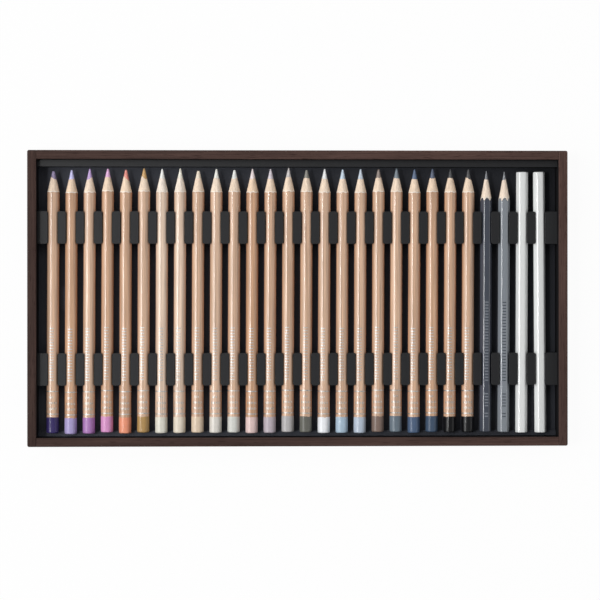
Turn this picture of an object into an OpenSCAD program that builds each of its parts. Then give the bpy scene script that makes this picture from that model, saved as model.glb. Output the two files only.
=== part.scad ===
// Open drawer of a pencil box: a stained wooden frame on a base panel, a black
// moulded insert with two rows of snap-in clips, and a row of pencils in them.
// +X runs along the row, +Y towards the pencils' points, +Z up.
// The origin is the middle of the underside.

/* [Pencils] */
// Distance from one pencil's axis to the next
pitch = 12; // [11:0.1:16]
// Full length of a colour pencil
pencil_len = 175.5; // [140:0.5:190]
// Width over the rounded edges of a colour pencil
barrel_d = 8.1; // [7.4:0.1:9]
// Width over the flats of a colour pencil
barrel_flats = 7.65; // [7.1:0.05:8]
// Diameter of a coloured lead
lead_d = 3.8; // [2.5:0.1:4.5]
// Length of the sharpened cone of a colour pencil
cone_len = 16; // [12:0.5:22]
// Radius of the blunted point of a coloured lead
point_r = 0.45; // [0.2:0.05:0.8]
// Length of the lacquered end of a colour pencil
dip_len = 10.6; // [6:0.2:20]
// Radius of the lacquered end's edge
dip_r = 0.9; // [0.3:0.1:1.6]
// Play between a lead and its bore, on the radius
glue_gap = 0.02; // [0.01:0.01:0.05]

/* [Graphite pencils] */
// Full length of a graphite pencil
graphite_len = 173.6; // [140:0.1:188]
// Width over the rounded edges of a graphite pencil
graphite_d = 7.9; // [7.2:0.1:8.1]
// Width over the flats of a graphite pencil
graphite_flats = 7.1; // [6.6:0.05:7.6]
// Diameter of a graphite lead
graphite_lead_d = 2.5; // [2:0.1:3]
// Length of the sharpened cone of a graphite pencil
graphite_cone_len = 20; // [15:0.5:24]
// Radius of the point of a graphite lead
graphite_point_r = 0.25; // [0.1:0.05:0.5]

/* [White sticks] */
// Full length of an unsharpened white stick
stick_len = 173.7; // [140:0.1:188]
// Width over the rounded edges of a white stick
stick_d = 8; // [7.2:0.1:8.1]
// Width over the flats of a white stick
stick_flats = 7.3; // [6.8:0.05:7.6]
// Edge break at the flat ends of graphite pencils and white sticks
end_break = 0.4; // [0.2:0.1:1]

/* [Frame] */
// Thickness of the four boards
board_t = 6; // [4:0.5:12]
// Clear height from the top of the pencils to the rim
rim_over = 4.95; // [4.8:0.05:15]
// Space from the outermost pencils to the boards
side_room = 6.95; // [6:0.05:14]
// Space from the pencils' points to the rear board
point_room = 5.8; // [5.4:0.1:14]
// Space from the pencils' ends to the front board
end_room = 2.7; // [2.6:0.1:14]
// Distance that the row sits off the middle, towards -X
row_shift = 0.6; // [0:0.1:1.2]
// Rounding of the rim's outer edge, drawn as a bevel
rim_bevel = 0.6; // [0.2:0.1:1.4]
// Small bevel on the rim's inner edge and along the foot
fine_bevel = 0.3; // [0.1:0.1:0.8]
// Bevel down the frame's four outer corners
corner_bevel = 0.8; // [0.2:0.1:1.6]

/* [Base panel] */
// Thickness of the base panel
panel_t = 3; // [2:0.5:5]
// Width of the bed that the boards have for the panel
bed_w = 3; // [2:0.5:3.5]
// Play round the panel in its bed
panel_play = 0.1; // [0.05:0.05:0.4]

/* [Insert] */
// Play between the insert and the boards
insert_play = 0.2; // [0.1:0.05:0.5]
// Thickness of the insert's floor
floor_t = 1.2; // [0.8:0.1:2.5]
// Clear height from the insert's floor to the barrels
belly_gap = 2.75; // [2:0.05:6]
// Clear distance from the points to the high ledge along the rear board
point_gap = 0.5; // [0.4:0.1:3]
// Width of the low ledge along the front board
front_ledge_w = 3.7; // [1.5:0.1:8]
// Clear height from the low ledge up to the barrels
ledge_gap = 0.45; // [0.3:0.05:1.5]

/* [Clips] */
// Distance between the middles of the two rows of clips
clip_rows = 94; // [60:1:110]
// Length of each row of clips along the pencils
clip_len = 21.5; // [12:0.5:30]
// Play between a barrel and its clip, on the radius
clip_play = 0.3; // [0.28:0.02:0.4]
// Reach of each clip lip over the barrel
lip_reach = 0.95; // [0.4:0.05:1.4]
// Thickness of the lips at the mouth of a clip
lip_t = 0.7; // [0.6:0.05:1.2]
// Slope that guides a barrel into the mouth
lead_in = 0.4; // [0.1:0.05:0.5]
// Rounding of the lips at both ends of a clip, in plan
lip_r = 1.5; // [0.5:0.1:2.4]
// Length of the low pad on the insert's floor
pad_len = 16; // [6:1:40]
// Width of the low pad
pad_w = 8; // [4:0.5:12]
// Height of the low pad
pad_h = 1.4; // [0.4:0.1:1.6]

/* [Hidden] */
$fn = 64;

// Places in the row, counted from the left
COLOURS = 24;
GRAPHITES = 2;
STICKS = 2;
PENCILS = COLOURS + GRAPHITES;
ROW = PENCILS + STICKS;

// How far each pencil lies towards its point, as a hand has put them in
slips = [0, -0.6, -0.3, 0.5, -0.2, 0.4, -0.1, 0, 0.2, 0, 0.2, -0.2, -0.1, 0.5,
         0.3, -0.2, -0.2, -0.3, 0.4, 0.4, -0.3, 0.3, 0, 0, 0.4, 0.2, -0.2, -0.2];
// How much of each point is worn off
wear = [1.4, 0.3, 0, 0.3, 0.5, 0.2, 0.1, 0, 1.2, 0.1, 0.7, 0, 0.1, 0,
        0.9, 0, 0.5, 0, 1, 0.4, 0.2, 0.5, 0.3, 0.4, 0.3, 0];
// Largest turn of a barrel in its clips, and the angle whose multiples spread
// the turns over the row without a pattern
most_roll = 5;
roll_step = 137;
// Lean of the row's pencils, and of the last one, in their clips' play
row_lean = 0.25;
last_lean = -0.3;

pigments = ["#5b4796", "#a8a4dc", "#a582c2", "#dc9fd6", "#ee8170", "#bf9450",
            "#e6e7dc", "#e8dcc4", "#e0c9a8", "#e2dfd6", "#d8dad6", "#e6cccb",
            "#c9bcc6", "#bcb9ba", "#66665f", "#f0f2f4", "#aac4da", "#b9c8d8",
            "#806a66", "#66747f", "#50668a", "#4c5b73", "#2b2b2e", "#28282b",
            "#54575c", "#6a6d72"];
wood = "#d3a67e";
stain = "#4a3835";
black = "#2c2c2f";
graphite_paints = ["#474c57", "#878d94"];
white = "#e2e4e3";

// What lies in the row: its longest piece and its widest one
longest = max(pencil_len, graphite_len, stick_len);
widest = max(barrel_d, graphite_d, stick_d);

// Frame and row
row_len = (ROW - 1) * pitch;
inner_w = row_len + widest + 2 * side_room;
inner_d = longest + point_room + end_room;
box_w = inner_w + 2 * board_t;
box_d = inner_d + 2 * board_t;
axis_z = panel_t + floor_t + belly_gap + widest / 2;
box_h = axis_z + widest / 2 + rim_over;
butt_y = end_room - inner_d / 2;

// Insert
insert_w = inner_w - 2 * insert_play;
insert_d = inner_d - 2 * insert_play;
floor_z = panel_t + floor_t;
front_ledge_z = axis_z - widest / 2 - ledge_gap;
rear_ledge_w = point_room - max(slips) - point_r / 2 - point_gap - insert_play;
slot_r = widest / 2 + clip_play;
mouth_w = widest - 2 * lip_reach;
lip_z = axis_z + sqrt(pow(slot_r, 2) - pow(mouth_w / 2, 2)) + lip_t;

// The low pad ends under the axis of the pencil in this place
pad_place = 1;
pad_x = pencil_x(pad_place) - pad_w / 2;

// Overlap that keeps a cut from ending on a face
over = 1;

function pencil_x(i) = (i - (ROW - 1) / 2) * pitch - row_shift;
function roll(i) = most_roll * sin(roll_step * i);
function lean(i) = i == ROW - 1 ? last_lean : row_lean;
function two_digits(n) = str(n < 10 ? "0" : "", n);
function casing_name(i) = str("pencil_", two_digits(i + 1), "_casing");
function lead_name(i) = str("pencil_", two_digits(i + 1), "_lead");
function stick_name(i) = str("white_stick_", i + 1);

// Block centred on the origin in plan, from height low to height high
module slab(width, depth, low, high) {
    translate([-width / 2, -depth / 2, low]) cube([width, depth, high - low]);
}

// Cross-section of a board: x in from its outer face, y up
module board_section() {
    polygon([
        [0, fine_bevel],
        [fine_bevel, 0],
        [board_t, 0],
        [board_t, box_h - fine_bevel],
        [board_t - fine_bevel, box_h],
        [rim_bevel, box_h],
        [0, box_h - rim_bevel]
    ]);
}

// Bar of the given length along X, with its outer face towards -Y on the
// outside of a frame that is depth deep
module bar(length, depth) {
    translate([-length / 2, -depth / 2, 0])
    rotate([90, 0, 90])
    linear_extrude(length)
    board_section();
}

// Bed that the base panel lies in, cut into all four boards
module panel_bed() {
    slab(inner_w + 2 * bed_w, inner_d + 2 * bed_w, -over, panel_t);
}

// Board between the side boards, at the front
module end_board() {
    color(stain)
    difference() {
        bar(inner_w, box_d);
        panel_bed();
    }
}

// Board over the whole depth, at the left, with its ends bevelled as the
// outer faces are
module side_board() {
    color(stain)
    difference() {
        intersection() {
            rotate([0, 0, -90]) bar(box_d, box_w);

            translate([-box_w / 2, 0, 0])
            rotate([90, 0, 90])
            linear_extrude(board_t)
            polygon([
                [-box_d / 2, fine_bevel],
                [fine_bevel - box_d / 2, 0],
                [box_d / 2 - fine_bevel, 0],
                [box_d / 2, fine_bevel],
                [box_d / 2, box_h - rim_bevel],
                [box_d / 2 - rim_bevel, box_h],
                [rim_bevel - box_d / 2, box_h],
                [-box_d / 2, box_h - rim_bevel]
            ]);

            linear_extrude(box_h)
            polygon([
                [-box_w / 2, corner_bevel - box_d / 2],
                [corner_bevel - box_w / 2, -box_d / 2],
                [-inner_w / 2, -box_d / 2],
                [-inner_w / 2, box_d / 2],
                [corner_bevel - box_w / 2, box_d / 2],
                [-box_w / 2, box_d / 2 - corner_bevel]
            ]);
        }
        panel_bed();
    }
}

module front_board() {
    end_board();
}

module rear_board() {
    rotate([0, 0, 180]) end_board();
}

module left_board() {
    side_board();
}

module right_board() {
    rotate([0, 0, 180]) side_board();
}

module base_panel() {
    grip = bed_w - panel_play;
    color(stain) slab(inner_w + 2 * grip, inner_d + 2 * grip, 0, panel_t);
}

// Floor, both ledges and the low pad. The rear ledge is as high as the clips.
module insert_tray() {
    slab(insert_w, insert_d, panel_t, floor_z);

    translate([-insert_w / 2, insert_d / 2 - rear_ledge_w, panel_t])
    cube([insert_w, rear_ledge_w, lip_z - panel_t]);

    translate([-insert_w / 2, -insert_d / 2, panel_t])
    cube([insert_w, front_ledge_w, front_ledge_z - panel_t]);

    translate([pad_x - pad_w / 2, -pad_len / 2, panel_t])
    cube([pad_w, pad_len, floor_t + pad_h]);
}

// Everything that one row of clips has cut out of it, centred on y = 0
module clip_cuts() {
    length = clip_len + 2 * over;

    // round seats of the barrels
    translate([0, length / 2, axis_z])
    rotate([90, 0, 0])
    linear_extrude(length)
    for (i = [0:ROW - 1]) translate([pencil_x(i), 0]) circle(slot_r);

    // mouths, with the slopes that guide a barrel in
    translate([0, length / 2, 0])
    rotate([90, 0, 0])
    linear_extrude(length)
    for (i = [0:ROW - 1]) translate([pencil_x(i), 0]) mouth_section();

    // rounded corners of the lips, in plan
    translate([0, 0, axis_z])
    linear_extrude(lip_z - axis_z + over)
    for (i = [0:ROW - 1], side = [-1, 1], far = [-1, 1])
        translate([pencil_x(i) + side * mouth_w / 2, far * clip_len / 2])
        scale([side, far]) lip_corner();
}

// Section across a mouth: x across, y up
module mouth_section() {
    polygon([
        [-mouth_w / 2, axis_z],
        [mouth_w / 2, axis_z],
        [mouth_w / 2, lip_z - lead_in],
        [mouth_w / 2 + lead_in + over, lip_z + over],
        [-mouth_w / 2 - lead_in - over, lip_z + over],
        [-mouth_w / 2, lip_z - lead_in]
    ]);
}

// What a lip's corner loses to its rounding, with the corner at the origin
module lip_corner() {
    difference() {
        translate([-over, -lip_r]) square([lip_r + over, lip_r + over]);
        translate([lip_r, -lip_r]) circle(lip_r);
    }
}

module pencil_insert() {
    color(black)
    difference() {
        union() {
            insert_tray();
            for (row = [-1, 1])
                translate([0, row * clip_rows / 2, 0])
                slab(insert_w, clip_len, panel_t, lip_z);
        }
        for (row = [-1, 1]) translate([0, row * clip_rows / 2, 0]) clip_cuts();
    }
}

// Six-sided bar with rounded edges, standing on z = 0, a flat towards +Y
module hex_bar(width, flats, length) {
    intersection() {
        cylinder(d = width, h = length);
        cylinder(d = flats / cos(30), h = length, $fn = 6);
    }
}

// Moves what stands on z = 0 with its point up into place i of the row
module in_row(i) {
    translate([pencil_x(i), 0, axis_z])
    rotate([0, 0, -lean(i)])
    translate([0, butt_y + slips[i], 0])
    rotate([0, roll(i), 0])
    rotate([-90, 0, 0])
    children();
}

// Height at which a cone, which narrows to tip_r at the top of a pencil, has
// the radius r
function cone_z(r, length, cone, outer_r, tip_r) =
    length - cone * (r - tip_r) / (outer_r - tip_r);

// Bored and sharpened wooden casing from height foot to where the lead comes out
module casing(width, flats, length, cone, bore_r, tip_r, foot) {
    difference() {
        intersection() {
            hex_bar(width, flats, length);
            rotate_extrude()
            polygon([
                [0, foot],
                [width / 2, foot],
                [width / 2, length - cone],
                [bore_r, cone_z(bore_r, length, cone, width / 2, tip_r)],
                [0, cone_z(bore_r, length, cone, width / 2, tip_r)]
            ]);
        }
        translate([0, 0, foot - over]) cylinder(r = bore_r, h = length);
    }
}

// Lead from height foot to its point, which has lost worn of its height and
// has a small blunt top
module lead(lead_r, length, cone, outer_r, tip_r, foot, worn) {
    end_r = tip_r + worn * (outer_r - tip_r) / cone;
    rotate_extrude()
    polygon([
        [0, foot],
        [lead_r, foot],
        [lead_r, cone_z(lead_r, length, cone, outer_r, tip_r)],
        [end_r, length - worn],
        [end_r / 2, length - worn + tip_r / 2],
        [0, length - worn + tip_r / 2]
    ]);
}

// Lacquered end of a colour pencil, drawn as a solid of its own so that it
// can have its colour
module dipped_end() {
    intersection() {
        hex_bar(barrel_d, barrel_flats, dip_len);
        rotate_extrude() {
            translate([0, dip_r]) square([barrel_d / 2, dip_len - dip_r]);
            square([barrel_d / 2 - dip_r, dip_len]);
            intersection() {
                translate([barrel_d / 2 - dip_r, dip_r]) circle(dip_r);
                square([barrel_d / 2, dip_len]);
            }
        }
    }
}

// Plain painted end of a graphite pencil, with a broken edge
module painted_end(width, flats) {
    intersection() {
        hex_bar(width, flats, end_break);
        cylinder(d1 = width - 2 * end_break, d2 = width, h = end_break);
    }
}

module pencil_casing(i) {
    if (i < COLOURS) {
        in_row(i) {
            color(wood)
            casing(barrel_d, barrel_flats, pencil_len, cone_len,
                   lead_d / 2 + glue_gap, point_r, dip_len);
            color(pigments[i]) dipped_end();
        }
    } else {
        in_row(i)
        color(graphite_paints[i - COLOURS]) {
            casing(graphite_d, graphite_flats, graphite_len, graphite_cone_len,
                   graphite_lead_d / 2 + glue_gap, graphite_point_r, end_break);
            painted_end(graphite_d, graphite_flats);
        }
    }
}

module pencil_lead(i) {
    color(pigments[i])
    in_row(i)
    if (i < COLOURS)
        lead(lead_d / 2, pencil_len, cone_len, barrel_d / 2, point_r, dip_len, wear[i]);
    else
        lead(graphite_lead_d / 2, graphite_len, graphite_cone_len, graphite_d / 2,
             graphite_point_r, end_break, wear[i]);
}

module white_stick(i) {
    color(white)
    in_row(PENCILS + i)
    intersection() {
        hex_bar(stick_d, stick_flats, stick_len);
        rotate_extrude()
        polygon([
            [0, 0],
            [stick_d / 2 - end_break, 0],
            [stick_d / 2, end_break],
            [stick_d / 2, stick_len - end_break],
            [stick_d / 2 - end_break, stick_len],
            [0, stick_len]
        ]);
    }
}

left_board();
right_board();
front_board();
rear_board();
base_panel();
pencil_insert();
for (i = [0:PENCILS - 1]) {
    pencil_casing(i);
    pencil_lead(i);
}
for (i = [0:STICKS - 1])
    white_stick(i);
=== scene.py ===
import math
import random

import bmesh
import bpy
from mathutils import Matrix, Vector, noise


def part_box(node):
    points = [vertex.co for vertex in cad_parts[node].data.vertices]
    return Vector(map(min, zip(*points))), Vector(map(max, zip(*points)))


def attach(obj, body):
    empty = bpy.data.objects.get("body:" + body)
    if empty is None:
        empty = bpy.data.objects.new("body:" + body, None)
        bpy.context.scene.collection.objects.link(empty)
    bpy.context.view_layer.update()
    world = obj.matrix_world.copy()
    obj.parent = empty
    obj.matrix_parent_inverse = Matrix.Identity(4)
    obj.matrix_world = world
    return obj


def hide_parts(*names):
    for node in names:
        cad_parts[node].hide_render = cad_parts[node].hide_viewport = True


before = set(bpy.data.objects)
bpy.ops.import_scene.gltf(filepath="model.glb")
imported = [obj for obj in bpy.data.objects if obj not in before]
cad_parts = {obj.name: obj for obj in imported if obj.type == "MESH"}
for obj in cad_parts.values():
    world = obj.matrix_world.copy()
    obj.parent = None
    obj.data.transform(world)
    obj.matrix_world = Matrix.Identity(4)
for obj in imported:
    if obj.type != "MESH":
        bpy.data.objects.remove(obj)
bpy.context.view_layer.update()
mm = 0.001
print("frame loaded")

# the view: straight above, a little to the left of the middle
view = {"place": (-46.1, -2.45, 1500), "turn": (0.053, -1.823, -0.03), "lens": 134.25}

cameraData = bpy.data.cameras.new("overhead")
cameraData.lens = view["lens"]
cameraObject = bpy.data.objects.new("overhead", cameraData)
cameraObject.location = Vector(view["place"]) * mm
cameraObject.rotation_euler = [math.radians(angle) for angle in view["turn"]]
bpy.context.collection.objects.link(cameraObject)
bpy.context.scene.camera = cameraObject
bpy.context.scene.view_settings.view_transform = "Standard"


def linear(hexColour):
    channels = [int(hexColour[i:i + 2], 16) / 255 for i in (1, 3, 5)]
    return [c / 12.92 if c <= 0.04045 else ((c + 0.055) / 1.055) ** 2.4 for c in channels] + [1]


def addNode(tree, kind, sockets=None, stops=(), **settings):
    node = tree.nodes.new("ShaderNode" + kind)
    for name, value in settings.items():
        setattr(node, name, value)
    for name, value in (sockets or {}).items():
        if isinstance(value, bpy.types.NodeSocket):
            tree.links.new(value, node.inputs[name])
        else:
            node.inputs[name].default_value = value
    for number, (position, colour) in enumerate(stops):
        marks = node.color_ramp.elements
        mark = marks[number] if number < 2 else marks.new(position)
        mark.position, mark.color = position, colour
    return node


def shaded(colour, by):
    return [min(1, channel * by) for channel in colour[:3]] + [1]


def startMaterial(name):
    material = bpy.data.materials.new(name)
    material.use_nodes = True
    material.node_tree.nodes.clear()
    return material, material.node_tree


def finishMaterial(tree, surface):
    addNode(tree, "OutputMaterial", {"Surface": surface})


# fine pattern drawn out along one axis: sizes in mm
def patternAt(tree, sizes, **noiseSockets):
    place = addNode(tree, "TexCoord").outputs["Object"]
    scale = [1 / (size * mm) for size in sizes]
    mapped = addNode(tree, "Mapping", {"Vector": place, "Scale": scale}).outputs["Vector"]
    sockets = {"Vector": mapped, "Scale": 1.0, "Detail": 3.0, "Roughness": 0.55}
    sockets.update(noiseSockets)
    return addNode(tree, "TexNoise", sockets).outputs["Fac"]


boxReach = {"toRight": 175, "toRear": 95}  # mm from the middle to the frame


# a level that changes evenly over the box, used for painted light and shade: in the middle,
# and the change towards its right and rear sides
def levelOver(tree, middle, toRight, toRear):
    place = addNode(tree, "TexCoord").outputs["Object"]
    change = (toRight / (boxReach["toRight"] * mm), toRear / (boxReach["toRear"] * mm), 0)
    slope = addNode(tree, "VectorMath", {0: place, 1: change},
                    operation="DOT_PRODUCT").outputs["Value"]
    return addNode(tree, "Math", {0: slope, 1: middle}, operation="ADD").outputs[0]


def dimmed(tree, colour, level):
    return addNode(tree, "VectorMath", {0: colour, "Scale": level},
                   operation="SCALE").outputs["Vector"]


# soft lamps all round, and a narrow one that draws a line down every barrel
softboxes = {
    "left": {"towards": (-0.76, 0.05, 0.65), "distance": 3.0, "size": (2.8, 3.0), "power": 76},
    "rear": {"towards": (-0.05, 0.5, 0.87), "distance": 3.0, "size": (1.8, 1.8), "power": 9},
    "front": {"towards": (-0.05, -0.5, 0.87), "distance": 3.0, "size": (1.8, 1.8), "power": 4},
    "right": {"towards": (0.85, 0.0, 0.53), "distance": 3.0, "size": (3.0, 3.0), "power": 19},
    "strip": {"towards": (-0.44, 0.0, 0.9), "distance": 3.0, "size": (0.3, 0.5), "power": 18},
}
surroundings = {"room": 0.1, "seen": 1.0}

for name, box in softboxes.items():
    lamp = bpy.data.lights.new("softbox." + name, "AREA")
    lamp.shape, lamp.energy = "RECTANGLE", box["power"]
    lamp.size, lamp.size_y = box["size"]
    lampObject = bpy.data.objects.new("softbox." + name, lamp)
    away = Vector(box["towards"]).normalized()
    side = Vector((0, 1, 0)).cross(away).normalized()
    lampObject.location = away * box["distance"]
    # width across the barrels, height along them
    lampObject.rotation_euler = Matrix((side, away.cross(side), away)).transposed().to_euler()
    bpy.context.collection.objects.link(lampObject)

world = bpy.data.worlds.new("studio")
world.use_nodes = True
world.node_tree.nodes.clear()
seen = addNode(world.node_tree, "LightPath").outputs["Is Camera Ray"]
air = addNode(world.node_tree, "Background", {"Strength": surroundings["room"]})
backdrop = addNode(world.node_tree, "Background", {"Strength": surroundings["seen"]})
for background in (air, backdrop):
    background.inputs["Color"].default_value = (1, 1, 1, 1)
sky = addNode(world.node_tree, "MixShader", {0: seen, 1: air.outputs[0], 2: backdrop.outputs[0]})
addNode(world.node_tree, "OutputWorld", {"Surface": sky.outputs[0]})
bpy.context.scene.world = world

# floor of white paper: seen nearly white all over, with a faint shadow
paper = {"colour": "#f6f6f6", "shade": "#f4f4f4", "fibre": 3, "half": 4.0, "whitened": 0.95}


def makeFloor():
    material, tree = startMaterial("paper, matt white")
    rays = addNode(tree, "LightPath").outputs
    either = addNode(tree, "Math", {0: rays["Is Camera Ray"], 1: rays["Is Glossy Ray"]},
                     operation="MAXIMUM").outputs[0]
    anyOf = addNode(tree, "Math", {0: either, 1: rays["Is Transmission Ray"]},
                    operation="MAXIMUM").outputs[0]
    share = addNode(tree, "Math", {0: anyOf, 1: paper["whitened"]}, operation="MULTIPLY")
    fibres = patternAt(tree, (paper["fibre"],) * 3)
    tone = addNode(tree, "ValToRGB", {"Fac": fibres},
                   stops=[(0.3, linear(paper["shade"])), (0.7, linear(paper["colour"]))])
    matt = addNode(tree, "BsdfDiffuse", {"Color": tone.outputs["Color"]})
    white = addNode(tree, "Emission", {"Color": (1, 1, 1, 1), "Strength": 1.0})
    mixed = addNode(tree, "MixShader",
                    {0: share.outputs[0], 1: matt.outputs[0], 2: white.outputs[0]})
    finishMaterial(tree, mixed.outputs[0])
    bm = bmesh.new()
    bmesh.ops.create_grid(bm, x_segments=1, y_segments=1, size=paper["half"])
    mesh = bpy.data.meshes.new("floor")
    bm.to_mesh(mesh)
    bm.free()
    mesh.materials.append(material)
    floor = bpy.data.objects.new("floor", mesh)
    bpy.context.collection.objects.link(floor)


makeFloor()
print("camera, light and floor made")


# Beech or similar hardwood, planed, with a dark brown stain and a thin oil
# finish: straight fine grain with darker pores, hardly any gloss
# the last entry paints light over the frame: paler towards the right and the rear
stainedWood = {"dark": "#3b2c28", "middle": "#483631", "light": "#57423c",
               "poreDark": "#2c1c18", "grain": 0.9, "grainLong": 45, "broad": 6,
               "broadLong": 160, "pore": 0.5, "poreLong": 9, "roughness": 0.65,
               "gloss": 0.12, "bump": 0.05,
               "paint": "#1b1b1d", "paintedHalves": (173.02, 92.02),
               "stain": {"middle": 1.04, "toRight": 0.22, "toRear": 0.06}}


# 1 inside a rectangle round the origin, in plan, and 0 outside
def insideFrame(tree, halves):
    place = addNode(tree, "TexCoord").outputs["Object"]
    parts = addNode(tree, "SeparateXYZ", {0: place}).outputs
    within = []
    for axis, half in zip("XY", halves):
        size = addNode(tree, "Math", {0: parts[axis]}, operation="ABSOLUTE").outputs[0]
        within.append(addNode(tree, "Math", {0: size, 1: half * mm},
                              operation="LESS_THAN").outputs[0])
    return addNode(tree, "Math", {0: within[0], 1: within[1]}, operation="MULTIPLY").outputs[0]


def makeStainedWood(name, alongX):
    w = stainedWood

    def stretched(across, along):
        return (along, across, across) if alongX else (across, along, across)

    material, tree = startMaterial(name)
    grain = patternAt(tree, stretched(w["grain"], w["grainLong"]), Detail=5.0, Distortion=0.3)
    broad = patternAt(tree, stretched(w["broad"], w["broadLong"]), Detail=2.0)
    pores = patternAt(tree, stretched(w["pore"], w["poreLong"]), Detail=2.0)
    mixed = addNode(tree, "Math", {0: grain, 1: broad}, operation="ADD").outputs[0]
    half = addNode(tree, "Math", {0: mixed, 1: 0.5}, operation="MULTIPLY").outputs[0]
    ramp = addNode(tree, "ValToRGB", {"Fac": half},
                   stops=[(0.36, linear(w["dark"])), (0.66, linear(w["light"])),
                          (0.5, linear(w["middle"]))])
    poreMask = addNode(tree, "ValToRGB", {"Fac": pores},
                       stops=[(0.3, (1, 1, 1, 1)), (0.42, (0, 0, 0, 1))])
    colour = addNode(tree, "MixRGB", {"Fac": poreMask.outputs["Color"],
                                      "Color1": ramp.outputs["Color"],
                                      "Color2": linear(w["poreDark"])})
    bump = addNode(tree, "Bump", {"Height": half, "Strength": 0.6, "Distance": w["bump"] * mm})
    # painted light: the frame is made paler towards the right, and a little towards the rear,
    # where more light falls on it
    stained = dimmed(tree, colour.outputs["Color"], levelOver(tree, **w["stain"]))
    # the inside of the frame is painted black
    inside = insideFrame(tree, w["paintedHalves"])
    colour = addNode(tree, "MixRGB", {"Fac": inside, "Color1": stained,
                                      "Color2": linear(w["paint"])})
    skin = addNode(tree, "BsdfPrincipled",
                   {"Base Color": colour.outputs["Color"], "Roughness": w["roughness"],
                    "IOR": 1.5, "Specular IOR Level": w["gloss"],
                    "Normal": bump.outputs["Normal"]})
    finishMaterial(tree, skin.outputs[0])
    return material


# High-impact polystyrene, moulded against a grained tool: deep black, matt,
# with a broad soft sheen towards the light
# the flock's colour, its level and the height below which it lies paint light on the floor and
# the front ledge
mouldedBlack = {"dark": "#101114", "light": "#17181b", "grain": 0.7, "roughness": 0.45,
                "gloss": 0.39, "bump": 0.02, "flockAndPaintedLightBelow": 7.0, "flock": "#33353b",
                "flockShade": 0.85, "flockRoughness": 0.85, "flockGloss": 0.2,
                "paintedFloorLight": {"middle": 1.6, "toRight": -0.75, "toRear": -0.45}}


def makeMouldedBlack():
    m = mouldedBlack
    material, tree = startMaterial("polystyrene, moulded, grained black")
    fine = patternAt(tree, (m["grain"],) * 3, Detail=2.0)  # drawn at 0.7 mm, so that it shows
    ramp = addNode(tree, "ValToRGB", {"Fac": fine},
                   stops=[(0.35, linear(m["dark"])), (0.65, linear(m["light"]))])
    bump = addNode(tree, "Bump", {"Height": fine, "Strength": 0.5, "Distance": m["bump"] * mm})
    skin = addNode(tree, "BsdfPrincipled",
                   {"Base Color": ramp.outputs["Color"], "Roughness": m["roughness"],
                    "IOR": 1.55, "Specular IOR Level": m["gloss"],
                    "Normal": bump.outputs["Normal"]})
    # the floor between the clips is flocked: a soft black without the sheen. Its colour is
    # paler than the moulding, partly as painted light that lifts the shade between the pencils,
    # and it is painted paler still towards the left and the front. The front ledge, below
    # 7 mm, takes the flock as well, as painted light in its shade.
    pile = addNode(tree, "ValToRGB", {"Fac": fine},
                   stops=[(0.3, shaded(linear(m["flock"]), m["flockShade"])),
                          (0.7, linear(m["flock"]))])
    paintedFloorLight = dimmed(tree, pile.outputs["Color"], levelOver(tree, **m["paintedFloorLight"]))
    flock = addNode(tree, "BsdfPrincipled",
                    {"Base Color": paintedFloorLight, "Roughness": m["flockRoughness"],
                     "Specular IOR Level": m["flockGloss"], "Normal": bump.outputs["Normal"]})
    place = addNode(tree, "TexCoord").outputs["Object"]
    height = addNode(tree, "SeparateXYZ", {0: place}).outputs["Z"]
    bare = addNode(tree, "Math", {0: height, 1: m["flockAndPaintedLightBelow"] * mm},
                   operation="GREATER_THAN").outputs[0]
    both = addNode(tree, "MixShader", {0: bare, 1: flock.outputs[0], 2: skin.outputs[0]})
    finishMaterial(tree, both.outputs[0])
    return material


# Cedar, planed: straight soft grain in pinkish brown, lighter where it is cut
# fresh. The barrels have a clear gloss varnish over it.
# the last three values paint shade on the flanks below the axis: darker and warmer
cedar = {"pale": "#f4dac3", "warm": "#cb966c", "grain": 1.1, "grainLong": 60,
         "streak": 0.35, "streakLong": 30, "dark": 0.72, "light": 1.1, "line": 0.86,
         "bump": 0.0008, "varnish": 0.9, "varnishRoughness": 0.11,
         "paintedFlankShade": "#f4cba9", "paintedFlankShadeFrom": 13.0, "paintedFlankShadeTo": 11.0}


def cedarColour(tree, pale, warm, dark):
    c = cedar
    grain = patternAt(tree, (c["grain"], c["grainLong"], c["grain"]), Detail=3.0)
    streak = patternAt(tree, (c["streak"], c["streakLong"], c["streak"]), Detail=2.0)
    tone = addNode(tree, "Attribute", attribute_name="woodTone").outputs["Fac"]
    base = addNode(tree, "MixRGB", {"Fac": tone, "Color1": linear(pale), "Color2": linear(warm)})
    rings = addNode(tree, "MapRange", {"Value": grain, "From Min": 0.34, "From Max": 0.66,
                                       "To Min": dark, "To Max": c["light"]}).outputs[0]
    lines = addNode(tree, "MapRange", {"Value": streak, "From Min": 0.36, "From Max": 0.52,
                                       "To Min": c["line"], "To Max": 1.0}).outputs[0]
    shade = addNode(tree, "Math", {0: rings, 1: lines}, operation="MULTIPLY").outputs[0]
    grey = addNode(tree, "CombineColor", {"Red": shade, "Green": shade, "Blue": shade})
    return addNode(tree, "MixRGB", {"Fac": 1.0, "Color1": base.outputs["Color"],
                                    "Color2": grey.outputs["Color"]},
                   blend_type="MULTIPLY").outputs["Color"], streak


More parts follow.
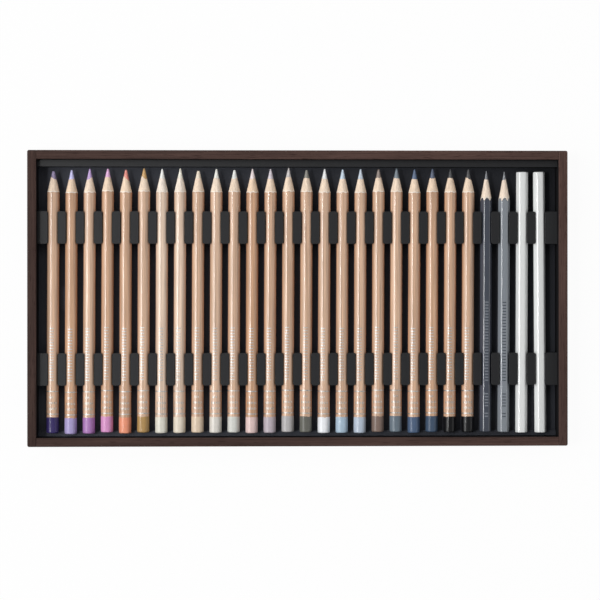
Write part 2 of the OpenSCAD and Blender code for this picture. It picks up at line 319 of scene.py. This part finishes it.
def makeVarnishedCedar():
    material, tree = startMaterial("cedar, planed, clear gloss varnish")
    colour, streak = cedarColour(tree, cedar["pale"], cedar["warm"], cedar["dark"])
    bump = addNode(tree, "Bump", {"Height": streak, "Strength": 0.4,
                                  "Distance": cedar["bump"] * mm})
    # painted shade: the flanks below the axis are darkened and warmed, for their shade and the
    # warm light bounced from the neighbouring pencils
    place = addNode(tree, "TexCoord").outputs["Object"]
    height = addNode(tree, "SeparateXYZ", {0: place}).outputs["Z"]
    flankShadeMask = addNode(tree, "MapRange", {"Value": height, "From Min": cedar["paintedFlankShadeFrom"] * mm,
                                     "From Max": cedar["paintedFlankShadeTo"] * mm}).outputs[0]
    flankShaded = addNode(tree, "MixRGB", {"Fac": flankShadeMask, "Color1": colour,
                                       "Color2": linear(cedar["paintedFlankShade"])}, blend_type="MULTIPLY")
    skin = addNode(tree, "BsdfPrincipled",
                   {"Base Color": flankShaded.outputs["Color"], "Roughness": 0.5, "IOR": 1.5,
                    "Coat Weight": cedar["varnish"], "Coat Roughness": cedar["varnishRoughness"],
                    "Coat IOR": 1.5, "Normal": bump.outputs["Normal"]})
    finishMaterial(tree, skin.outputs[0])
    return material


# the sharpened cone, as the blade left it: paler, matt, slightly fibrous
sharpened = {"pale": "#fff3e6", "warm": "#f6d5b3", "dark": 0.85, "fibre": 0.5,
             "fibreLong": 5, "bump": 0.06, "roughness": 0.75}


def makeBareCedar():
    material, tree = startMaterial("cedar, sharpened, bare")
    s = sharpened
    colour = cedarColour(tree, s["pale"], s["warm"], s["dark"])[0]
    fibres = patternAt(tree, (s["fibre"], s["fibreLong"], s["fibre"]), Detail=4.0)
    bump = addNode(tree, "Bump", {"Height": fibres, "Strength": 0.8, "Distance": s["bump"] * mm})
    skin = addNode(tree, "BsdfPrincipled",
                   {"Base Color": colour, "Roughness": s["roughness"], "IOR": 1.5,
                    "Normal": bump.outputs["Normal"]})
    finishMaterial(tree, skin.outputs[0])
    return material


# Wax-bound pigment, cut by a sharpener: a soft powdery colour with faint streaks
lead = {"mottle": 0.8, "mottleLong": 2.4, "dark": 0.8, "light": 1.1, "bump": 0.05,
        "roughness": 0.35, "wax": 1.0}


def makePigment(name, hexColour):
    material, tree = startMaterial(name)
    mottle = patternAt(tree, (lead["mottle"], lead["mottleLong"], lead["mottle"]), Detail=3.0)
    ramp = addNode(tree, "ValToRGB", {"Fac": mottle},
                   stops=[(0.35, shaded(linear(hexColour), lead["dark"])),
                          (0.65, shaded(linear(hexColour), lead["light"]))])
    bump = addNode(tree, "Bump", {"Height": mottle, "Strength": 0.6,
                                  "Distance": lead["bump"] * mm})
    skin = addNode(tree, "BsdfPrincipled",
                   {"Base Color": ramp.outputs["Color"], "Roughness": lead["roughness"],
                    "IOR": 1.45, "Specular IOR Level": lead["wax"],
                    "Normal": bump.outputs["Normal"]})
    finishMaterial(tree, skin.outputs[0])
    return material


# Nitrocellulose lacquer: the pencil's end is dipped in it, so it flows into
# slow ripples that break the highlight; painted barrels are drawn through it
# and stay smoother and more even
lacquer = {"ripple": 2.2, "roughness": 0.4, "underCoat": 0.25,
           "dipped": {"height": 0.03, "thin": 0.93, "gloss": 0.1, "coat": 0.32, "index": 1.5},
           "drawn": {"height": 0.0004, "thin": 0.98, "gloss": 0.06, "coat": 1.0, "index": 1.7}}


def makeLacquer(name, hexColour, way):
    values = lacquer[way]
    material, tree = startMaterial(name)
    ripple = patternAt(tree, (lacquer["ripple"],) * 3, Detail=1.0)
    ramp = addNode(tree, "ValToRGB", {"Fac": ripple},
                   stops=[(0.3, shaded(linear(hexColour), values["thin"])),
                          (0.7, linear(hexColour))])
    bump = addNode(tree, "Bump", {"Height": ripple, "Strength": 1.0,
                                  "Distance": values["height"] * mm})
    skin = addNode(tree, "BsdfPrincipled",
                   {"Base Color": ramp.outputs["Color"], "Roughness": lacquer["roughness"],
                    "IOR": 1.5, "Specular IOR Level": lacquer["underCoat"],
                    "Coat Weight": values["coat"],
                    "Coat Roughness": values["gloss"], "Coat IOR": values["index"],
                    "Normal": bump.outputs["Normal"],
                    "Coat Normal": bump.outputs["Normal"]})
    finishMaterial(tree, skin.outputs[0])
    return material


# Aluminium foil, hot-stamped onto varnish: bright, a little crumbled
foil = {"dark": "#a09e9e", "light": "#dcdad8", "crumble": 0.5, "bump": 0.03, "roughness": 0.5}


def makeFoil():
    material, tree = startMaterial("aluminium foil, hot-stamped")
    crumble = patternAt(tree, (foil["crumble"],) * 3, Detail=2.0)
    ramp = addNode(tree, "ValToRGB", {"Fac": crumble},
                   stops=[(0.35, linear(foil["dark"])), (0.6, linear(foil["light"]))])
    bump = addNode(tree, "Bump", {"Height": crumble, "Strength": 0.5,
                                  "Distance": foil["bump"] * mm})
    skin = addNode(tree, "BsdfPrincipled",
                   {"Base Color": ramp.outputs["Color"], "Metallic": 1.0,
                    "Roughness": foil["roughness"], "Normal": bump.outputs["Normal"]})
    finishMaterial(tree, skin.outputs[0])
    return material


# Graphite and clay, cut by a sharpener: dark grey with a dull metallic shine
graphiteLook = {"dark": "#727478", "light": "#a3a5aa", "grit": 0.4, "gritLong": 1.2,
                "metallic": 0.5, "roughness": 0.4}


def makeGraphite():
    g = graphiteLook
    material, tree = startMaterial("graphite, sharpened")
    grit = patternAt(tree, (g["grit"], g["gritLong"], g["grit"]), Detail=2.0)
    ramp = addNode(tree, "ValToRGB", {"Fac": grit},
                   stops=[(0.35, linear(g["dark"])), (0.65, linear(g["light"]))])
    skin = addNode(tree, "BsdfPrincipled",
                   {"Base Color": ramp.outputs["Color"], "Metallic": g["metallic"],
                    "Roughness": g["roughness"]})
    finishMaterial(tree, skin.outputs[0])
    return material


woodAlongX = makeStainedWood("hardwood, stained dark brown, grain across", True)
woodAlongY = makeStainedWood("hardwood, stained dark brown, grain lengthwise", False)
blackPlastic = makeMouldedBlack()
varnishedCedar = makeVarnishedCedar()
bareCedar = makeBareCedar()
silverFoil = makeFoil()
graphite = makeGraphite()
drawnPaints = {"dark grey": "#474c57", "grey": "#878d94", "white": "#e8eae9"}
darkGreyPaint, greyPaint, whitePaint = [
    makeLacquer("lacquer, drawn, " + tint, hexColour, "drawn")
    for tint, hexColour in drawnPaints.items()]
print("materials made")


def finishPiece(bm, name, material, body, replaced=(), sharp=30, woodTone=None):
    bmesh.ops.remove_doubles(bm, verts=bm.verts, dist=1e-7)
    bmesh.ops.recalc_face_normals(bm, faces=bm.faces)
    mesh = bpy.data.meshes.new(name)
    bm.to_mesh(mesh)
    bm.free()
    mesh.shade_smooth()
    mesh.set_sharp_from_angle(angle=math.radians(sharp))
    mesh.materials.append(material)
    if woodTone is not None and "woodTone" not in mesh.attributes:
        tones = mesh.attributes.new("woodTone", "FLOAT", "POINT")
        tones.data.foreach_set("value", [woodTone] * len(mesh.vertices))
    piece = bpy.data.objects.new(name, mesh)
    bpy.context.collection.objects.link(piece)
    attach(piece, body)
    if replaced:
        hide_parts(*replaced)


# boards, panel and insert: the CAD piece with its edges rounded
casework = {
    "left_board": {"material": woodAlongY, "slot": "stained_wood", "rounding": 0.2},
    "right_board": {"material": woodAlongY, "slot": "stained_wood", "rounding": 0.2},
    "front_board": {"material": woodAlongX, "slot": "stained_wood", "rounding": 0.2},
    "rear_board": {"material": woodAlongX, "slot": "stained_wood", "rounding": 0.2},
    "base_panel": {"material": woodAlongX, "slot": "stained_wood", "rounding": 0.1},
    "pencil_insert": {"material": blackPlastic, "slot": "insert_black", "rounding": 0.4},
}


def makeCasework(node):
    values = casework[node]
    bm = bmesh.new()
    bm.from_mesh(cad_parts[node].data)
    bmesh.ops.remove_doubles(bm, verts=bm.verts, dist=1e-6)
    bmesh.ops.dissolve_limit(bm, angle_limit=math.radians(0.5), verts=bm.verts, edges=bm.edges)
    edges = [edge for edge in bm.edges
             if edge.is_manifold and edge.is_convex and edge.calc_face_angle() > math.radians(30)]
    bmesh.ops.bevel(bm, geom=edges, offset=values["rounding"] * mm, offset_type="OFFSET",
                    affect="EDGES", segments=2, profile=0.5, material=-1, clamp_overlap=True)
    finishPiece(bm, node + ".finished", values["material"], "drawer",
                (node,), sharp=15)


for node in casework:
    makeCasework(node)
print("casework made")

# the row, as the CAD has it: mm and degrees
row = {"places": 28, "pitch": 12, "shift": -0.6, "axisHeight": 11, "lean": 0.25,
       "lastLean": -0.3, "mostRoll": 5, "rollStep": 137}

colourPencil = {
    "length": 175.5, "flats": 7.65, "width": 8.1, "edgeRadius": 2.37, "cone": 16,
    "tip": 0.45, "lead": 1.9, "leadFoot": 10.3, "foot": 10.3, "dip": 10.6,
    "dipProud": 0.06, "dipEdge": 0.9, "varnish": 0.06, "scallop": 0.4, "bladeFrom": 3,
}
graphitePencil = {
    "length": 173.6, "flats": 7.1, "width": 7.9, "edgeRadius": 0.97, "cone": 20,
    "tip": 0.25, "lead": 1.25, "leadFoot": 1, "foot": 0, "endBreak": 0.4,
    "varnish": 0.06, "scallop": 1.0, "bladeFrom": 3,
}
# "endRound": rounded edge at both ends, as shares of the break, up and inwards
whiteStick = {"length": 173.7, "flats": 7.3, "width": 8, "edgeRadius": 1.39, "endBreak": 0.4,
              "endRound": ((0, 1), (0.35, 0.375), (1, 0))}

# the colour pencils from left to right: wood from 0, pale, to 1, warm; how far
# the tip is worn down, mm; and for those that went askew into the sharpener, by
# how much, mm, and the side where the wood was left higher, degrees
colourRow = {
    "deep violet": {"lacquer": "#3a2f66", "pigment": "#9486aa", "wood": 0.6, "worn": 2.2,
                    "askew": (1.1, 180)},
    "lavender": {"lacquer": "#ada0d0", "pigment": "#ccc8f6", "wood": 0.77, "worn": 0.7},
    "orchid": {"lacquer": "#ac79b8", "pigment": "#c8a8e0", "wood": 0.54, "worn": 0,
               "askew": (1.0, 0)},
    "pink": {"lacquer": "#d995c8", "pigment": "#f2bcea", "wood": 0.7, "worn": 0.9},
    "salmon": {"lacquer": "#ec9878", "pigment": "#fb9c8e", "wood": 0.7, "worn": 1,
               "askew": (1.8, 180)},
    "ochre": {"lacquer": "#b28e58", "pigment": "#d6aa6e", "wood": 0.55, "worn": 0.4,
              "askew": (1.2, 180)},
    "ivory": {"lacquer": "#e2dfd2", "pigment": "#fafaf2", "wood": 0.1, "worn": 0.3},
    "cream": {"lacquer": "#e3d8c6", "pigment": "#fbf2e2", "wood": 0.18, "worn": 0},
    "sand": {"lacquer": "#e0cbb2", "pigment": "#f8e6d0", "wood": 0.59, "worn": 2},
    "shell": {"lacquer": "#dfdad2", "pigment": "#faf8ee", "wood": 0.47, "worn": 0.4},
    "pale grey": {"lacquer": "#d6d6d0", "pigment": "#f0f1ed", "wood": 0.57, "worn": 1.4},
    "rose": {"lacquer": "#e4c8c4", "pigment": "#fbe8e8", "wood": 0.8, "worn": 0},
    "mauve": {"lacquer": "#bbb0b8", "pigment": "#dcd2da", "wood": 0.63, "worn": 0.1},
    "light grey": {"lacquer": "#b9b6b6", "pigment": "#d0cac8", "wood": 0.6, "worn": 0},
    "olive grey": {"lacquer": "#6c6c65", "pigment": "#88867e", "wood": 0.58, "worn": 1.4},
    "white": {"lacquer": "#f2f4f8", "pigment": "#fafbfc", "wood": 0.55, "worn": 0},
    "sky blue": {"lacquer": "#acc2d4", "pigment": "#cedfef", "wood": 0.58, "worn": 0.5},
    "pale blue": {"lacquer": "#b9c5d4", "pigment": "#d0dcea", "wood": 0.55, "worn": 0},
    "brown grey": {"lacquer": "#826e64", "pigment": "#94857e", "wood": 0.6, "worn": 1},
    "steel": {"lacquer": "#6e7b86", "pigment": "#7e8a94", "wood": 0.54, "worn": 0.4},
    "slate blue": {"lacquer": "#506481", "pigment": "#5e708e", "wood": 0.65, "worn": 0.2},
    "dark slate": {"lacquer": "#44566d", "pigment": "#545f76", "wood": 0.72, "worn": 0.5},
    "soot": {"lacquer": "#0e0e11", "pigment": "#3e3f42", "wood": 0.65, "worn": 0.3},
    "black": {"lacquer": "#0e0e11", "pigment": "#4c4c4e", "wood": 0.62, "worn": 0.4,
              "askew": (0.9, 180)},
}
# cut of the cone: mm, and the steps up it as shares of its height
coneCut = {"slant": (0.1, 0.5), "ragged": 0.6, "raggedFine": 2.5,
           "steps": (0.05, 0.08, 0.3, 0.65, 1), "hollow": (-0.4, 0.9)}
tipRound = ((0.35, 0.86), (0.12, 0.62), (0.03, 0.35))  # up and in, as shares of the tip
# the dipped end: how far the lacquer sways in and out, mm, and its last thin edge
dipFlow = {"rings": 12, "sway": 0.03, "slow": 0.45, "edgeSway": 2, "edge": (0.04, 0.985)}


# moves what stands on z = 0, in mm, to its place in the row, in metres
def rowPlace(place, node):
    lean = row["lastLean"] if place == row["places"] - 1 else row["lean"]
    roll = row["mostRoll"] * math.sin(math.radians(row["rollStep"] * place))
    x = (place - (row["places"] - 1) / 2) * row["pitch"] + row["shift"]
    return (Matrix.Translation((x * mm, 0, row["axisHeight"] * mm))
            @ Matrix.Rotation(math.radians(-lean), 4, "Z")
            @ Matrix.Translation((0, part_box(node)[0].y, 0))
            @ Matrix.Rotation(math.radians(roll), 4, "Y")
            @ Matrix.Rotation(math.radians(-90), 4, "X")
            @ Matrix.Scale(mm, 4))


# six-sided outline with rounded edges, a flat towards -Y; gives its faces
def sixSided(bm, flats, edgeRadius, grow=0.0, height=0.0, flatSteps=1):
    corner = (flats / 2 + grow) / math.cos(math.radians(30))
    turned = Matrix.Translation((0, 0, height)) @ Matrix.Rotation(math.radians(30), 4, "Z")
    made = bmesh.ops.create_circle(bm, cap_ends=True, segments=6, radius=corner, matrix=turned)
    bmesh.ops.bevel(bm, geom=made["verts"], affect="VERTICES", material=-1,
                    offset=(edgeRadius + grow) * math.tan(math.radians(30)),
                    offset_type="OFFSET", segments=5, profile=0.5)
    if flatSteps > 1:
        longest = max(edge.calc_length() for edge in bm.edges)
        wide = [edge for edge in bm.edges if edge.calc_length() > longest * 0.9]
        bmesh.ops.subdivide_edges(bm, edges=wide, cuts=flatSteps - 1)
    return bm.faces[:]


def drawOut(bm, faces, rise, widen=1.0):
    grown = bmesh.ops.extrude_face_region(bm, geom=faces)["geom"]
    verts = [part for part in grown if isinstance(part, bmesh.types.BMVert)]
    bmesh.ops.translate(bm, verts=verts, vec=(0, 0, rise))
    bmesh.ops.scale(bm, verts=verts, vec=(widen, widen, 1))
    return [part for part in grown if isinstance(part, bmesh.types.BMFace)]


def acrossAxis(vert):
    return math.hypot(vert.co.x, vert.co.y)


# height at which the sharpened cone has this radius
def coneHeight(kind, radius):
    slope = kind["cone"] / (kind["width"] / 2 - kind["tip"])
    return kind["length"] - slope * (radius - kind["tip"])


# where the coat ends: the blade's scallops, evened out by "scallop"
def shoulderHeight(kind, radius):
    level = coneHeight(kind, kind["width"] / 2)
    return level + kind["scallop"] * (coneHeight(kind, radius) - level)


def coneRadius(kind, height):
    slope = kind["cone"] / (kind["width"] / 2 - kind["tip"])
    return kind["tip"] + (kind["length"] - height) / slope


def vertsOf(faces):
    return list(dict.fromkeys(vert for face in faces for vert in face.verts))


def makeBarrel(kind):
    bm = bmesh.new()
    faces = sixSided(bm, kind["flats"], kind["edgeRadius"], height=kind["foot"], flatSteps=4)
    if "endBreak" in kind:  # plain end with a broken edge
        half = kind["width"] / 2
        bmesh.ops.scale(bm, verts=bm.verts, vec=(1 - kind["endBreak"] / half,) * 2 + (1,))
        faces = drawOut(bm, faces, kind["endBreak"], half / (half - kind["endBreak"]))
    faces = drawOut(bm, faces, kind["length"] - kind["cone"] - kind["bladeFrom"] - kind["foot"])
    # the blade has cut the coat back to scallops, and left its edge standing
    steep = 1.5  # rise of that edge, as a share of the coat
    for inset in (0, kind["varnish"]):
        faces = drawOut(bm, faces, 1)
        for vert in vertsOf(faces):
            vert.co.z = shoulderHeight(kind, acrossAxis(vert)) + inset * steep
        narrowed = 1 - 2 * inset / kind["width"]
        bmesh.ops.scale(bm, verts=vertsOf(faces), vec=(narrowed, narrowed, 1))
    return bm


def makeCone(kind, own, draw):
    bm = bmesh.new()
    faces = sixSided(bm, kind["flats"], kind["edgeRadius"], grow=-kind["varnish"], flatSteps=4)
    for vert in bm.verts:
        vert.co.z = shoulderHeight(kind, acrossAxis(vert))
    drawn = (draw.uniform(*coneCut["slant"]), draw.uniform(0, 360))
    slant, towards = own.get("askew", drawn)
    seed = Vector((draw.uniform(0, 90), 0, 0))
    tone = bm.verts.layers.float.new("woodTone")
    start = {}
    for vert in bm.verts:
        angle = math.atan2(vert.co.y, vert.co.x)
        way = Vector((math.cos(angle), math.sin(angle), 0))
        ragged = noise.noise(seed + way * coneCut["raggedFine"])
        end = coneHeight(kind, kind["lead"]) + ragged * coneCut["ragged"]
        end += slant * math.cos(angle - math.radians(towards))
        start[round(angle, 4)] = (vert.co.z, end)
    # the first step is short and pale: the torn edge under the varnish, kept at the palest wood,
    # partly as a painted highlight where the varnish's cut edge catches the light
    for step in coneCut["steps"]:
        faces = drawOut(bm, faces, 0.01)
        for vert in vertsOf(faces):
            vert[tone] = own["wood"] if step > coneCut["steps"][0] else 0
            angle = math.atan2(vert.co.y, vert.co.x)
            low, high = start[min(start, key=lambda a: abs(a - angle))]
            vert.co.z = low + (high - low) * step
            radius = coneRadius(kind, vert.co.z)
            vert.co.x, vert.co.y = radius * math.cos(angle), radius * math.sin(angle)
    drawOut(bm, faces, *coneCut["hollow"])
    return bm


def makeLead(kind, worn):
    bm = bmesh.new()
    foot = kind["leadFoot"]
    top = kind["length"] - worn
    tipRadius = coneRadius(kind, top)
    hidden = 0.03  # the wood stands this proud of the lead
    flare = 1.2  # wider at the cone, so that no gap shows under the wood's edge
    neck = 1  # length over which it widens
    shoulder = coneHeight(kind, kind["lead"] * flare + hidden)
    bmesh.ops.create_circle(bm, cap_ends=True, segments=32, radius=kind["lead"],
                            matrix=Matrix.Translation((0, 0, foot)))
    faces = bm.faces[:]
    faces = drawOut(bm, faces, shoulder - neck - foot)
    faces = drawOut(bm, faces, neck, flare)
    for share in (0.5, 1.0):
        faces = drawOut(bm, faces, (top - shoulder) / 2)
        for vert in vertsOf(faces):
            radius = coneRadius(kind, vert.co.z) - hidden * (1 - share)
            vert.co.xy = vert.co.xy.normalized() * radius
    for rise, widen in tipRound:
        faces = drawOut(bm, faces, tipRadius * rise, widen)
    return bm


def makeCap(kind, draw):
    bm = bmesh.new()
    half = kind["width"] / 2
    edge = kind["dipEdge"]
    faces = sixSided(bm, kind["flats"], kind["edgeRadius"], grow=kind["dipProud"])
    bmesh.ops.scale(bm, verts=bm.verts, vec=(1 - edge / half,) * 2 + (1,))
    inset = edge
    step = 18  # degrees, round the lower edge
    for angle in range(step, 91, step):
        turn = math.radians(angle)
        nextInset = edge * (1 - math.sin(turn))
        rise = edge * (math.cos(turn - math.radians(step)) - math.cos(turn))
        faces = drawOut(bm, faces, rise, (half - nextInset) / (half - inset))
        inset = nextInset
    seed = Vector((draw.uniform(0, 90), draw.uniform(0, 90), 0))
    for ring in range(dipFlow["rings"]):
        faces = drawOut(bm, faces, (kind["dip"] - edge) / dipFlow["rings"])
        for vert in vertsOf(faces):
            sway = noise.noise(seed + vert.co * dipFlow["slow"]) * dipFlow["sway"]
            if ring == dipFlow["rings"] - 1:
                vert.co.z += sway * dipFlow["edgeSway"]
            vert.co.xy *= 1 + sway / half
    drawOut(bm, faces, *dipFlow["edge"])
    return bm


def makeStick(kind):
    bm = bmesh.new()
    half = kind["width"] / 2
    rings = [(kind["endBreak"] * rise, half - kind["endBreak"] * inset)
             for rise, inset in kind["endRound"]]
    rings += [(kind["length"] - height, radius) for height, radius in reversed(rings)]
    faces = sixSided(bm, kind["flats"], kind["edgeRadius"])
    bmesh.ops.scale(bm, verts=bm.verts, vec=(rings[0][1] / half,) * 2 + (1,))
    for (low, before), (high, after) in zip(rings, rings[1:]):
        faces = drawOut(bm, faces, high - low, after / before)
    return bm


# Foil: two rings, three rows of plain bars between them, and a line of plain
# dashes further up the barrel
foilPrint = {"thick": 0.03, "rings": (12.4, 27.4), "ringHigh": 0.75,
             "rows": ((15.7, -3.2, 6), (19.4, -3.2, 6), (23.2, -2.1, 3)),
             "barPitch": 1.1, "barWide": 0.6, "barHigh": 1.4,
             "dashes": 19, "dashFrom": 35, "dashPitch": 1.9, "dashHigh": 0.65,
             "dashAcross": (-2.1, 0.9)}

# on the graphite pencils, three groups of plain dashes
stampedLine = {"groups": ((10, 2), (17, 5), (34, 27)), "dashPitch": 2.0, "dashHigh": 0.7,
               "dashAcross": (-1.2, 1.2)}


def makeSleeve(kind, low, high):
    bm = bmesh.new()
    thick = foilPrint["thick"]
    for grow in (-thick, thick):
        faces = sixSided(bm, kind["flats"], kind["edgeRadius"], grow=grow, height=low)
        bmesh.ops.delete(bm, geom=bm.faces[:], context="FACES_ONLY")
    bmesh.ops.bridge_loops(bm, edges=bm.edges[:])
    drawOut(bm, bm.faces[:], high - low)
    return bm


def makePlate(kind, left, right, low, high):
    bm = makeSleeve(kind, low, high)
    for place, way in (((left, 0, 0), (-1, 0, 0)), ((right, 0, 0), (1, 0, 0)),
                       ((0, -1, 0), (0, 1, 0))):
        parts = bm.verts[:] + bm.edges[:] + bm.faces[:]
        bmesh.ops.bisect_plane(bm, geom=parts, plane_co=place, plane_no=way, clear_outer=True)
    bmesh.ops.holes_fill(bm, edges=[edge for edge in bm.edges if edge.is_boundary])
    return bm


def joined(parts):
    whole = bmesh.new()
    for part in parts:
        mesh = bpy.data.meshes.new("part")
        part.to_mesh(mesh)
        part.free()
        whole.from_mesh(mesh)
        bpy.data.meshes.remove(mesh)
    return whole


def makeFoilPrint(kind):
    parts = [makeSleeve(kind, low, low + foilPrint["ringHigh"]) for low in foilPrint["rings"]]
    for low, left, bars in foilPrint["rows"]:
        for bar in range(bars):
            start = left + bar * foilPrint["barPitch"]
            parts.append(makePlate(kind, start, start + foilPrint["barWide"],
                                   low, low + foilPrint["barHigh"]))
    for dash in range(foilPrint["dashes"]):
        low = foilPrint["dashFrom"] + dash * foilPrint["dashPitch"]
        parts.append(makePlate(kind, *foilPrint["dashAcross"], low, low + foilPrint["dashHigh"]))
    return joined(parts)


def makeStampedLine(kind):
    parts = []
    for low, dashes in stampedLine["groups"]:
        for dash in range(dashes):
            start = low + dash * stampedLine["dashPitch"]
            parts.append(makePlate(kind, *stampedLine["dashAcross"],
                                   start, start + stampedLine["dashHigh"]))
    return joined(parts)


def placeRowPiece(bm, place, node):
    bmesh.ops.transform(bm, verts=bm.verts, matrix=rowPlace(place, node))


draw = random.Random(7)


# barrel and lead stand in for the CAD's casing and lead
def finishPencil(place, shapes, woodTone):
    body = f"pencil_{place + 1:02d}"
    casing = body + "_casing"
    replaced = {"barrel": (casing,), "lead": (body + "_lead",)}
    for part, bm, material, slot in shapes:
        placeRowPiece(bm, place, casing)
        finishPiece(bm, f"{body}.{part}", material, body, replaced.get(part, ()),
                    woodTone=woodTone)


foilShape = makeFoilPrint(colourPencil)
for place, own in enumerate(colourRow.values()):
    number = f"{place + 1:02d}"
    pigment = makePigment("wax pigment, sharpened, " + number, own["pigment"])
    dip = makeLacquer("lacquer, dipped, " + number, own["lacquer"], "dipped")
    finishPencil(place, (
        ("barrel", makeBarrel(colourPencil), varnishedCedar, "varnished_cedar"),
        ("cone", makeCone(colourPencil, own, draw), bareCedar, "bare_cedar"),
        ("cap", makeCap(colourPencil, draw), dip, "lacquer_" + number),
        ("foil", foilShape.copy(), silverFoil, "silver_foil"),
        ("lead", makeLead(colourPencil, own["worn"]), pigment, "pigment_" + number),
    ), own["wood"])
foilShape.free()
print("colour pencils made")

stampShape = makeStampedLine(graphitePencil)
bothGraphite = {"wood": 0.4, "worn": 0}
for place, paint, slot, stamp, stampSlot in (
        (24, darkGreyPaint, "dark_grey_paint", greyPaint, "grey_paint"),
        (25, greyPaint, "grey_paint", darkGreyPaint, "dark_grey_paint")):
    finishPencil(place, (
        ("barrel", makeBarrel(graphitePencil), paint, slot),
        ("cone", makeCone(graphitePencil, bothGraphite, draw), bareCedar, "bare_cedar"),
        ("foil", stampShape.copy(), stamp, stampSlot),
        ("lead", makeLead(graphitePencil, bothGraphite["worn"]), graphite, "graphite"),
    ), bothGraphite["wood"])
stampShape.free()
print("graphite pencils made")

for stick in (1, 2):
    node = f"white_stick_{stick}"
    bm = makeStick(whiteStick)
    placeRowPiece(bm, 25 + stick, node)
    finishPiece(bm, node + ".painted", whitePaint, node + "_body", (node,))
print("white sticks made")
